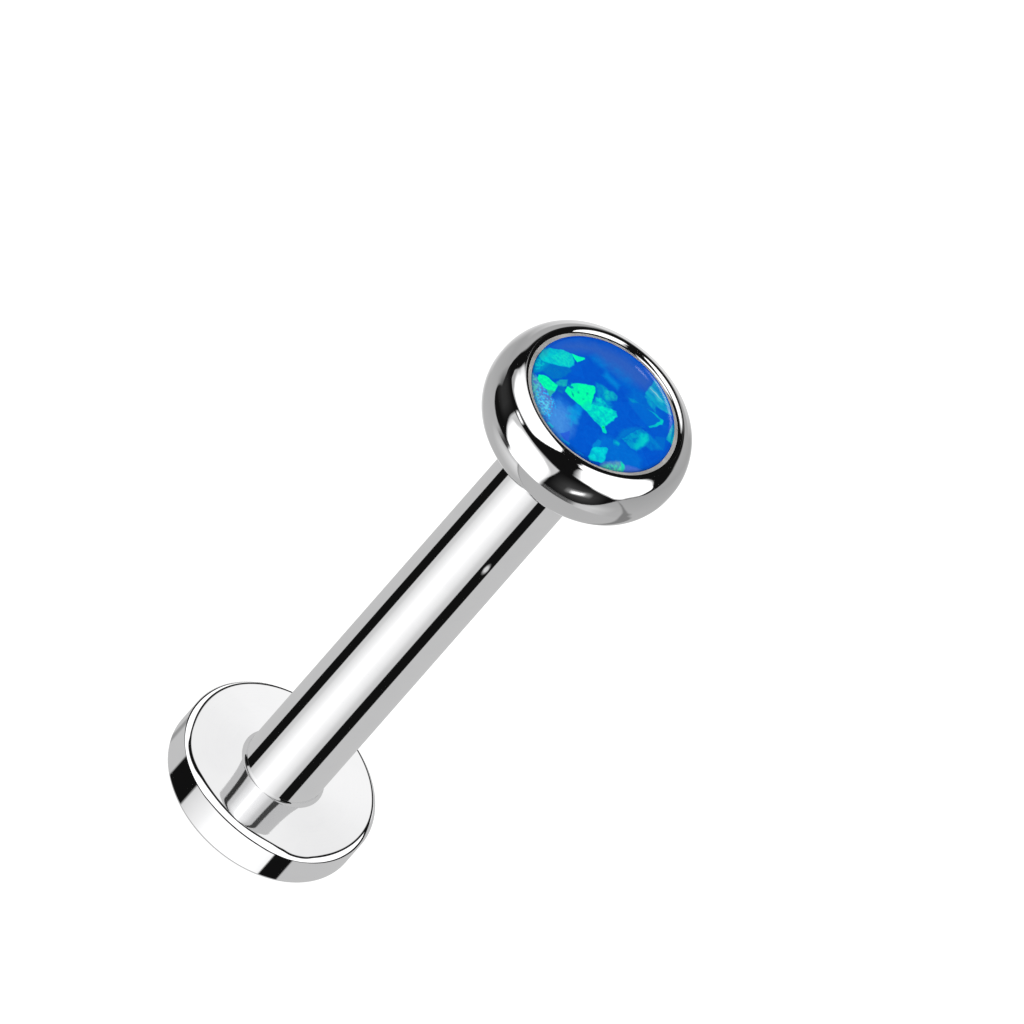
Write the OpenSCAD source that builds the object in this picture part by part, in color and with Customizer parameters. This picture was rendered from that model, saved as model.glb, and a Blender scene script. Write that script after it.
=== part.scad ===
// Flat back stud with an opal set head, standing on its flat back, millimetres.
// The origin is the centre of the disc's flat back, and +Z runs along the post to the stone.

/* [Disc] */
// Diameter of the flat disc
disc_d = 3.0; // [2.5:0.1:5]
// Thickness of the flat disc
disc_t = 0.65; // [0.5:0.05:1]
// Radius of the disc's edge on the side of the post
disc_front_edge_r = 0.11; // [0.05:0.01:0.15]
// Radius of the disc's edge on the flat back
disc_back_edge_r = 0.1; // [0.05:0.01:0.2]

/* [Post] */
// Diameter of the post, 16 gauge
post_d = 1.2; // [1:0.1:1.6]
// Length of the post between the disc and the head
post_len = 8.0; // [5:0.5:12]
// Radius of the fillet at the foot of the post
post_fillet_r = 0.05; // [0.02:0.01:0.1]
// Chamfer round the post's free end
post_chamfer = 0.05; // [0.02:0.01:0.08]

/* [Head] */
// Largest diameter of the bezel
head_d = 3.08; // [3.04:0.02:3.6]
// Height of the straight band round the middle of the bezel
side_band_h = 0.06; // [0.04:0.01:0.1]
// Radius of the arcs that bulge the bezel's side
side_arc_r = 0.75; // [0.68:0.01:0.76]
// Radius of the arcs above and below the side
shoulder_arc_r = 0.414; // [0.35:0.01:0.45]
// Radius of the arc that rolls the side over to the rim's crest
rim_arc_r = 0.235; // [0.2:0.005:0.25]
// Radius of the lip inside the crest
lip_arc_r = 0.056; // [0.04:0.002:0.058]
// Height of the crest above the ledge
lip_h = 0.06; // [0.06:0.005:0.1]
// Gap between the head and the end of the post
seat_gap = 0.02; // [0.02:0.01:0.05]

/* [Pin] */
// Diameter of the pin under the head
pin_d = 0.5; // [0.4:0.02:0.5]
// Length of the pin under the head
pin_len = 4.0; // [2:0.5:4.5]
// Chamfer at the pin's tip
pin_chamfer = 0.08; // [0.04:0.02:0.12]
// Clearance between the pin and the side of its bore
pin_side_gap = 0.03; // [0.02:0.01:0.05]
// Clearance between the pin's tip and the bottom of its bore
pin_end_gap = 0.5; // [0.2:0.1:0.5]

/* [Stone] */
// Diameter of the opal
stone_d = 2.25; // [2:0.05:2.25]
// Height of the dome above the ledge
dome_h = 0.25; // [0.2:0.01:0.3]
// Radius that rounds the dome into the girdle
girdle_arc_r = 0.07; // [0.05:0.01:0.14]
// Depth of the stone below the ledge
stone_depth = 0.45; // [0.3:0.05:0.6]
// Gap between the stone and its cup
stone_gap = 0.02; // [0.02:0.01:0.03]

/* [Hidden] */
$fn = 96;

// Arcs of the bezel's outline, as angles above the middle plane
side_end = 26;
shoulder_end = 33.7;

disc_r = disc_d / 2;
post_r = post_d / 2;
post_top = disc_t + post_len;
head_r = head_d / 2;
side_x = head_r - side_arc_r;
side_z = side_band_h / 2;
side_end_x = side_x + side_arc_r * cos(side_end);
side_end_z = side_z + side_arc_r * sin(side_end);
shoulder_x = side_x + (side_arc_r - shoulder_arc_r) * cos(side_end);
shoulder_z = side_z + (side_arc_r - shoulder_arc_r) * sin(side_end);
rim_x = shoulder_x + (shoulder_arc_r - rim_arc_r) * cos(shoulder_end);
rim_z = shoulder_z + (shoulder_arc_r - rim_arc_r) * sin(shoulder_end);
lip_z = rim_z + rim_arc_r - lip_arc_r;
ledge_r = rim_x - lip_arc_r;
ledge_z = rim_z + rim_arc_r - lip_h;
head_under = shoulder_z + shoulder_arc_r;
head_mid_z = post_top + seat_gap + head_under;
cup_r = stone_d / 2 + stone_gap;
stone_r = stone_d / 2;

bore_r = pin_d / 2 + pin_side_gap;
bore_depth = pin_len + pin_end_gap;

// The dome's arc is centred under the apex, and the girdle's arc, centred level with the ledge, meets it smoothly
girdle_x = stone_r - girdle_arc_r;
dome_arc_r = (pow(girdle_x, 2) + pow(dome_h, 2) - pow(girdle_arc_r, 2)) / (2 * (dome_h - girdle_arc_r));
dome_zc = dome_h - dome_arc_r;
dome_end = atan2(-dome_zc, girdle_x);
dome_end_r = dome_arc_r * cos(dome_end);

// A sector of a circle between two angles, less than 120 degrees apart
module sector(r, from, to) {
    reach = 3 * r;
    mid = (from + to) / 2;
    intersection() {
        circle(r);
        polygon([[0, 0],
                 [reach * cos(from), reach * sin(from)],
                 [reach * cos(mid), reach * sin(mid)],
                 [reach * cos(to), reach * sin(to)]]);
    }
}

// A rectangle in the half plane of a turned section, from radius r0 to r1 and height z0 to z1
module band(r0, r1, z0, z1) {
    translate([r0, z0]) square([r1 - r0, z1 - z0]);
}

module disc_section() {
    front = disc_front_edge_r;
    back = disc_back_edge_r;
    band(0, disc_r - back, 0, disc_t);
    band(0, disc_r - front, back, disc_t);
    band(0, disc_r, back, disc_t - front);
    translate([disc_r - back, back]) circle(back);
    translate([disc_r - front, disc_t - front]) circle(front);
}

module post_section() {
    fillet = post_fillet_r;
    band(0, post_r, disc_t / 2, post_top - post_chamfer);
    band(0, post_r - post_chamfer, disc_t / 2, post_top);
    polygon([[0, post_top - post_chamfer], [post_r, post_top - post_chamfer],
             [post_r - post_chamfer, post_top], [0, post_top]]);
    difference() {
        band(post_r - fillet, post_r + fillet, disc_t - fillet, disc_t + fillet);
        translate([post_r + fillet, disc_t + fillet]) circle(fillet);
    }
}

module flat_back_post() {
    color("silver")
    difference() {
        rotate_extrude() {
            disc_section();
            post_section();
        }
        translate([0, 0, post_top - bore_depth]) cylinder(r = bore_r, h = bore_depth + 1);
    }
}

module bezel_section() {
    difference() {
        union() {
            band(0, head_r, -side_z, side_z);
            translate([side_x, side_z]) sector(side_arc_r, 0, side_end);
            translate([side_x, -side_z]) sector(side_arc_r, -side_end, 0);
            translate([shoulder_x, shoulder_z]) sector(shoulder_arc_r, side_end, shoulder_end);
            translate([shoulder_x, -shoulder_z]) sector(shoulder_arc_r, -90, -side_end);
            translate([rim_x, rim_z]) sector(rim_arc_r, shoulder_end, 90);
            translate([rim_x, lip_z]) circle(lip_arc_r);
            polygon([[0, -head_under],
                     [shoulder_x, -head_under],
                     [shoulder_x, -shoulder_z],
                     [side_end_x, -side_end_z],
                     [head_r, -side_z],
                     [head_r, side_z],
                     [side_end_x, side_end_z],
                     [rim_x + rim_arc_r * cos(shoulder_end), rim_z + rim_arc_r * sin(shoulder_end)],
                     [rim_x, rim_z],
                     [rim_x, lip_z],
                     [ledge_r, lip_z],
                     [ledge_r, ledge_z],
                     [0, ledge_z]]);
        }
        band(0, cup_r, ledge_z - stone_depth - stone_gap, head_under + rim_arc_r);
    }
}

module bezel_head() {
    color("silver") {
        translate([0, 0, head_mid_z]) rotate_extrude() bezel_section();
        translate([0, 0, post_top + seat_gap - pin_len]) rotate_extrude() {
            band(0, pin_d / 2, pin_chamfer, pin_len + head_under / 2);
            polygon([[0, 0], [pin_d / 2 - pin_chamfer, 0], [pin_d / 2, pin_chamfer], [0, pin_chamfer]]);
        }
    }
}

module opal_section() {
    band(0, stone_r, -stone_depth, 0);
    translate([girdle_x, 0]) sector(girdle_arc_r, 0, dome_end);
    polygon([[0, 0], [girdle_x, 0], [dome_end_r, dome_zc + dome_arc_r * sin(dome_end)], [0, dome_h]]);
    intersection() {
        translate([0, dome_zc]) circle(dome_arc_r, $fn = 720);
        band(0, dome_end_r, 0, 2 * dome_h);
    }
}

module opal_cabochon() {
    color("dodgerblue")
    translate([0, 0, head_mid_z + ledge_z]) rotate_extrude() opal_section();
}

flat_back_post();
bezel_head();
opal_cabochon();
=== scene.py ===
"""The finished look of a flat back stud with an opal set head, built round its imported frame.

The stud stands on its flat back, and +Z runs along the post to the stone. Sizes in the classes below are
millimetres, and Blender's objects are in metres.
"""

import logging
import math
from collections.abc import Sequence
from dataclasses import dataclass, field
from enum import Enum

import bpy
from mathutils import Matrix, Vector

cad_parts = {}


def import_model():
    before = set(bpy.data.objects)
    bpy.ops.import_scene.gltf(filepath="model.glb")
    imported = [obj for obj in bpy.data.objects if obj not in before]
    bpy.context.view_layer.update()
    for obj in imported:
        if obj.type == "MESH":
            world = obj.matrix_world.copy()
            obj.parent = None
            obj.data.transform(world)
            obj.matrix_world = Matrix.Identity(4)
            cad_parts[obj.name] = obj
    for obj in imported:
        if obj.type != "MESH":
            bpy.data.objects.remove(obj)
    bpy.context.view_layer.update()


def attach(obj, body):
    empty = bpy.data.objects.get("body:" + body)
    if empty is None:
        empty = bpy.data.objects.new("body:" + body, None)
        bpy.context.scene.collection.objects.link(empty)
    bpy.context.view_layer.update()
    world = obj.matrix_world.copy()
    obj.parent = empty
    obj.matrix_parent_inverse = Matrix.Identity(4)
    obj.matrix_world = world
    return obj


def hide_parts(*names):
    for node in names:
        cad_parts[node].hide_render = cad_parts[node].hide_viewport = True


log = logging.getLogger("flat_back_stud")

MM = 0.001
MM_PER_METRE = (1000.0, 1000.0, 1000.0)
# How many faces a turned piece has round it, and the radius up to which a point is on its axis
TURN_STEPS = 360
ON_AXIS = 1e-9

Colour = tuple[float, float, float]
Point = tuple[float, float]


class Wire:
    """One output socket of a shader, whose arithmetic adds Math nodes."""

    def __init__(self, shader: "Shader", socket: bpy.types.NodeSocket) -> None:
        """Keeps the socket.

        Args:
            shader: the shader that the socket is in.
            socket: the output socket.
        """
        self.shader = shader
        self.socket = socket

    def math(self, operation: str, *others: "Wire | float", clamp: bool = False) -> "Wire":
        """Adds one Math node with this wire as its first value.

        Args:
            operation: the node's operation.
            others: its other values.
            clamp: whether the result is kept between 0 and 1.

        Returns:
            The node's output.
        """
        settings = {"operation": operation, "use_clamp": clamp}
        return self.shader.node("ShaderNodeMath", settings, *[self, *others])

    def __add__(self, other: "Wire | float") -> "Wire":
        """This plus another value."""
        return self.math("ADD", other)

    __radd__ = __add__

    def __mul__(self, other: "Wire | float") -> "Wire":
        """This times another value."""
        return self.math("MULTIPLY", other)

    __rmul__ = __mul__

    def __sub__(self, other: "Wire | float") -> "Wire":
        """This minus another value."""
        return self.math("SUBTRACT", other)

    def __rsub__(self, other: float) -> "Wire":
        """A number minus this."""
        return self.math("MULTIPLY_ADD", -1.0, other)

    def lower(self, other: "Wire | float") -> "Wire":
        """The lower of this and another value."""
        return self.math("MINIMUM", other)

    def share(self, low: float, high: float) -> "Wire":
        """How far this lies between two numbers, from 0 to 1.

        Args:
            low: the value that gives 0.
            high: the value that gives 1, which may be the smaller number.

        Returns:
            The share, kept between 0 and 1.
        """
        step = 1.0 / (high - low)
        return self.math("MULTIPLY_ADD", step, -low * step, clamp=True)


class Shader:
    """A node tree that is built from Python expressions."""

    def __init__(self, tree: bpy.types.NodeTree) -> None:
        """Empties the tree.

        Args:
            tree: the tree of a material or a world.
        """
        self.tree = tree
        self.tree.nodes.clear()

    def node(self, kind: str, settings: dict[str, object], *values: object, out: int | str = 0,
             **named: object) -> Wire:
        """Adds one node.

        Args:
            kind: the node's type.
            settings: its properties, and the points of its curve under the key bends. They are set first.
            values: values or wires of its first sockets, in order.
            out: the output that is wanted.
            named: values or wires of sockets by name, with _ for a space.

        Returns:
            The wanted output.
        """
        node = self.tree.nodes.new(kind)
        for key, value in settings.items():
            if key == "bends":
                self.set_bends(node.mapping, value)
            else:
                setattr(node, key, value)
        shown = [socket for socket in node.inputs if socket.enabled]
        for socket, value in zip(shown, values):
            self.feed(socket, value)
        for key, value in named.items():
            self.feed(node.inputs[key.replace("_", " ")], value)
        outputs = node.outputs if isinstance(out, str) else [s for s in node.outputs if s.enabled]
        return Wire(self, outputs[out])

    def close(self, kind: str, surface: Wire) -> None:
        """Adds the output node.

        Args:
            kind: the node's type.
            surface: the shader that it shows.
        """
        self.feed(self.tree.nodes.new(kind).inputs["Surface"], surface)

    @staticmethod
    def set_bends(mapping: bpy.types.CurveMapping, bends: Sequence[Point]) -> None:
        """Gives a curve its points.

        Args:
            mapping: the curve of a Float Curve node.
            bends: its points, with both parts between 0 and 1.
        """
        points = mapping.curves[0].points
        points[0].location, points[1].location = bends[0], bends[-1]
        for bend in bends[1:-1]:
            points.new(*bend)
        for point in points:
            point.handle_type = "AUTO_CLAMPED"
        mapping.extend = "HORIZONTAL"
        mapping.update()

    def curve(self, value: Wire, points: Sequence[Point], low: Point, high: Point) -> Wire:
        """A smooth curve of a value.

        Args:
            value: the value.
            points: pairs of a value and what the curve gives for it.
            low: the lowest value and the lowest result that there can be.
            high: the highest ones.

        Returns:
            The curve's result.
        """
        wide, tall = high[0] - low[0], high[1] - low[1]
        bends = [((x - low[0]) / wide, (y - low[1]) / tall) for x, y in points]
        place = value.math("MULTIPLY_ADD", 1.0 / wide, -low[0] / wide)
        found = self.node("ShaderNodeFloatCurve", {"bends": bends}, 1.0, place)
        return found.math("MULTIPLY_ADD", tall, low[1])

    def feed(self, socket: bpy.types.NodeSocket, value: object) -> None:
        """Links a wire to a socket or sets the socket's own value.

        Args:
            socket: the input socket.
            value: a wire, a number, or a colour or vector.
        """
        if isinstance(value, Wire):
            self.tree.links.new(value.socket, socket)
        elif isinstance(value, tuple) and socket.type == "RGBA":
            socket.default_value = (*value, 1.0)
        else:
            socket.default_value = value

    def mix(self, low: "Wire | Colour", high: "Wire | Colour", factor: Wire) -> Wire:
        """Mixes two colours.

        Args:
            low: the colour at 0.
            high: the colour at 1.
            factor: how much of the second one there is.

        Returns:
            The mixed colour.
        """
        settings = {"data_type": "RGBA", "clamp_factor": True}
        return self.node("ShaderNodeMix", settings, factor, low, high)

    def blend(self, low: "Wire | float", high: "Wire | float", factor: Wire) -> Wire:
        """Mixes two numbers."""
        return self.node("ShaderNodeMix", {"data_type": "FLOAT"}, factor, low, high)

    def noise(self, vector: Wire, scale: float, detail: float = 2.0, distortion: float = 0.0,
              out: int = 0) -> Wire:
        """Adds a Noise Texture.

        Args:
            vector: where it is read.
            scale: its scale.
            detail: its octaves.
            distortion: how much it is bent.
            out: 0 for the value, 1 for the colour.

        Returns:
            The wanted output.
        """
        return self.node("ShaderNodeTexNoise", {}, vector, Scale=scale, Detail=detail,
                         Distortion=distortion, out=out)

    def vector(self, operation: str, *values: object, out: int = 0) -> Wire:
        """Adds one Vector Math node."""
        return self.node("ShaderNodeVectorMath", {"operation": operation}, *values, out=out)

    def place(self) -> Wire:
        """The place on a piece in millimetres, as a vector from its origin."""
        return self.vector("MULTIPLY", self.node("ShaderNodeTexCoord", {}, out="Object"), MM_PER_METRE)

    def join(self, x: "Wire | float", y: "Wire | float", z: "Wire | float") -> Wire:
        """The vector of three parts."""
        return self.node("ShaderNodeCombineXYZ", {}, x, y, z)

    def split(self, vector: Wire) -> tuple[Wire, Wire, Wire]:
        """The three parts of a vector."""
        parts = self.node("ShaderNodeSeparateXYZ", {}, vector).socket.node
        return tuple(Wire(self, socket) for socket in parts.outputs)

    @staticmethod
    def edge_lines(corners: Sequence[Point], soft: float) -> list[tuple[float, float, float]]:
        """The edges of a convex outline, as lines that go from 0 to 1 across a soft edge.

        Args:
            corners: the outline's corners, in either turning direction.
            soft: the width of the edge.

        Returns:
            For each edge, the factors of the place's two coordinates and the number added to them.
        """
        pairs = list(zip(corners, [*corners[1:], corners[0]]))
        area = sum(a[0] * b[1] - b[0] * a[1] for a, b in pairs)
        lines = []
        for (ax, ay), (bx, by) in pairs:
            length = math.hypot(bx - ax, by - ay) * math.copysign(soft, area)
            nx, ny = (ay - by) / length, (bx - ax) / length
            lines.append((nx, ny, 0.5 - nx * ax - ny * ay))
        return lines

    def insides(self, x: Wire, y: Wire, outlines: Sequence[tuple[Sequence[Point], float]]) -> list[Wire]:
        """How far a place lies inside each of some convex outlines, worked out for three of them at a time.

        Args:
            x: a vector whose three parts are all the place's first coordinate.
            y: the same with its second coordinate.
            outlines: the corners of each and the width of its edge.

        Returns:
            For each outline, 0 outside and 1 inside.
        """
        shares: list[Wire] = []
        for i in range(0, len(outlines), 3):
            trio = [self.edge_lines(corners, soft) for corners, soft in outlines[i:i + 3]]
            trio += [trio[-1]] * (3 - len(trio))
            depth = None
            for j in range(max(len(lines) for lines in trio)):
                nx, ny, begin = zip(*[lines[min(j, len(lines) - 1)] for lines in trio])
                part = self.vector("MULTIPLY_ADD", x, nx, self.vector("MULTIPLY_ADD", y, ny, begin))
                depth = part if depth is None else self.vector("MINIMUM", depth, part)
            depth = self.vector("MAXIMUM", self.vector("MINIMUM", depth, (1.0, 1.0, 1.0)), (0.0, 0.0, 0.0))
            shares += self.split(depth)
        return shares[:len(outlines)]


def empty_material(name: str) -> tuple[bpy.types.Material, Shader]:
    """Makes a material without nodes.

    Args:
        name: its name.

    Returns:
        The material, and the shader that fills it.
    """
    material = bpy.data.materials.new(name)
    material.use_nodes = True
    return material, Shader(material.node_tree)


@dataclass
class Section:
    """The outline that a turned piece is made from, from the axis back to the axis."""

    points: list[tuple[float, float, float, float]] = field(default_factory=list)

    def spot(self, r: float, z: float, angle: float) -> "Section":
        """Adds one point.

        Args:
            r: distance from the axis.
            z: height.
            angle: direction of the outward normal, in degrees above the horizontal.

        Returns:
            The section.
        """
        a = math.radians(angle)
        self.points.append((r, z, math.cos(a), math.sin(a)))
        return self

    def arc(self, centre: Point, radius: float, start: float, end: float, steps: int,
            slopes: Point | None = None) -> "Section":
        """Adds an arc.

        Args:
            centre: its centre.
            radius: its radius.
            start: the angle it starts at, in degrees.
            end: the angle it ends at.
            steps: how many stretches it has.
            slopes: the directions of the outward normal at its ends, where they aren't the arc's own.

        Returns:
            The section.
        """
        first, last = slopes or (start, end)
        for i in range(steps + 1):
            share = i / steps
            a = math.radians(start + (end - start) * share)
            self.spot(centre[0] + radius * math.cos(a), centre[1] + radius * math.sin(a),
                      first + (last - first) * share)
        return self

    def turned(self, name: str) -> bpy.types.Object:
        """Turns the section round the Z axis into a closed mesh with exact normals.

        Args:
            name: the piece's name.

        Returns:
            The new object, at the origin.
        """
        rings, vertices, normals = [], [], []
        for r, z, nr, nz in self.points:
            steps = TURN_STEPS if r > ON_AXIS else 1
            rings.append(range(len(vertices), len(vertices) + steps))
            for i in range(steps):
                a = 2.0 * math.pi * i / steps
                c, s = math.cos(a), math.sin(a)
                vertices.append((r * c * MM, r * s * MM, z * MM))
                normals.append((nr * c, nr * s, nz) if steps > 1 else (0.0, 0.0, math.copysign(1.0, nz)))
        faces = []
        for low, high in zip(rings, rings[1:]):
            for i in range(TURN_STEPS):
                a, b = i % len(low), (i + 1) % len(low)
                c, d = (i + 1) % len(high), i % len(high)
                corners = [low[a], low[b], high[c], high[d]]
                faces.append(list(dict.fromkeys(corners)))
        mesh = bpy.data.meshes.new(name)
        mesh.from_pydata(vertices, [], faces)
        mesh.validate()
        mesh.shade_smooth()
        mesh.normals_split_custom_set_from_vertices(normals)
        piece = bpy.data.objects.new(name, mesh)
        bpy.context.scene.collection.objects.link(piece)
        return piece


class Slot(Enum):
    """The record's material slots."""

    METAL = "polished_steel"
    OPAL = "opal"


def shown(red: int, green: int, blue: int) -> Colour:
    """Works out a linear colour from the one that a screen shows.

    Args:
        red: its red, out of 255.
        green: its green, out of 255.
        blue: its blue, out of 255.

    Returns:
        The linear colour.
    """
    parts = []
    for part in (red, green, blue):
        share = part / 255.0
        parts.append(share / 12.92 if share <= 0.04045 else ((share + 0.055) / 1.055) ** 2.4)
    return tuple(parts)


@dataclass(frozen=True)
class PolishedMetal:
    """Mirror polished steel, with faint turning marks and smears that blur its reflections a little.

    It is dulled by its marks, smears and specks, and blurred by its marks and smears, in these shares.
    """

    name: str = "mirror_polished_steel"
    bright: Colour = (0.93, 0.93, 0.935)
    dull: Colour = (0.88, 0.88, 0.89)
    smooth: float = 0.02
    smeared: float = 0.06
    marks_per_mm: float = 14.0
    mark_scale: float = 6.0
    mark_range: Point = (0.45, 0.75)
    mark_start: float = 0.3
    smear_scale: float = 2.2
    smear_range: Point = (0.42, 0.72)
    speck_scale: float = 26.0
    speck_range: Point = (0.66, 0.74)
    dulled_by: tuple[float, float, float] = (0.5, 0.35, 0.4)
    blurred_by: Point = (0.3, 0.7)
    bump_strength: float = 0.008
    bump_depth: float = 0.02 * MM

    def material(self) -> bpy.types.Material:
        """Makes the material.

        Returns:
            The new material.
        """
        material, shader = empty_material(self.name)
        place = shader.place()
        x, y, z = shader.split(place)
        radius = (x * x + y * y).math("SQRT")
        rings = shader.join(radius * self.marks_per_mm, z * self.marks_per_mm, 0.0)
        marks = shader.noise(rings, self.mark_scale, 3.0)
        smears = shader.noise(place, self.smear_scale, 4.0, 0.8).share(*self.smear_range)
        specks = shader.noise(place, self.speck_scale, 2.0).share(*self.speck_range)
        by_marks, by_smears, by_specks = self.dulled_by
        dulled = (marks - self.mark_start) * by_marks + smears * by_smears + specks * by_specks
        colour = shader.mix(self.bright, self.dull, dulled)
        by_marks, by_smears = self.blurred_by
        blurred = smears * by_smears + marks.share(*self.mark_range) * by_marks
        rough = shader.blend(self.smooth, self.smeared, blurred)
        bump = shader.node("ShaderNodeBump", {}, Strength=self.bump_strength, Distance=self.bump_depth,
                           Height=marks)
        surface = shader.node("ShaderNodeBsdfPrincipled", {}, Base_Color=colour, Metallic=1.0,
                              Roughness=rough, Normal=bump)
        shader.close("ShaderNodeOutputMaterial", surface)
        return material


@dataclass(frozen=True)
class SatinMetal:
    """Rough satin steel for the ledge round the stone, darker than the polished steel: painted shade in the
    gap between the lip and the stone.
    """

    name: str = "satin_steel_painted_shade"
    # Both colours are far darker than the polished steel: painted shade in the gap round the stone, broken
    # up by grit and patches
    bright: Colour = (0.62, 0.61, 0.60)
    dull: Colour = (0.36, 0.35, 0.34)
    smooth: float = 0.38
    rough: float = 0.55
    grit_scale: float = 30.0
    grit_range: Point = (0.35, 0.65)
    patch_scale: float = 3.0
    patch_range: Point = (0.3, 0.7)
    grit_share: float = 0.35

    def material(self) -> bpy.types.Material:
        """Makes the material.

        Returns:
            The new material.
        """
        material, shader = empty_material(self.name)
        place = shader.place()
        grit = shader.noise(place, self.grit_scale, 3.0).share(*self.grit_range)
        patches = shader.noise(place, self.patch_scale, 2.0).share(*self.patch_range)
        worn = grit * self.grit_share + patches * (1.0 - self.grit_share)
        colour = shader.mix(self.dull, self.bright, worn)
        rough = shader.blend(self.smooth, self.rough, grit)
        surface = shader.node("ShaderNodeBsdfPrincipled", {}, Base_Color=colour, Metallic=1.0,
                              Roughness=rough)
        shader.close("ShaderNodeOutputMaterial", surface)
        return material


class Grain(Enum):
    """What breaks up a patch of colour in the opal."""

    PLAIN = 0
    CLOUD = 1
    SPECK = 2
    STREAK = 3
    DOT = 4


@dataclass(frozen=True)
class Flake:
    """One flake or cloud of colour in the opal, with its corners in hundredths of a millimetre.

    X runs to the right and Y away from the photograph's camera, from the middle of the stone. The cover is
    how much of what lies under it the flake hides, soft is the width of its edge, and broken is how far its
    grain opens it up.
    """

    colour: Colour
    corners: tuple[Point, ...]
    cover: float = 1.0
    soft: float = 1.2
    grain: Grain = Grain.PLAIN
    broken: float = 0.5


# The opal's colours
LEAF = shown(2, 250, 166)
TEAL = shown(2, 208, 206)
SEA = shown(0, 158, 200)
DULL = shown(0, 120, 192)
DEEP = shown(0, 80, 198)
NIGHT = shown(0, 58, 178)
# Pale hazes: milky opal, and painted sheen of the dome's faint gloss
HAZE_SHEEN = shown(46, 97, 190)
MILK_AND_SHEEN = shown(70, 146, 222)
SKY_BLUE = shown(40, 190, 246)
LIME = shown(62, 226, 176)
BASE_BLUE = shown(0, 96, 208)

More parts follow.
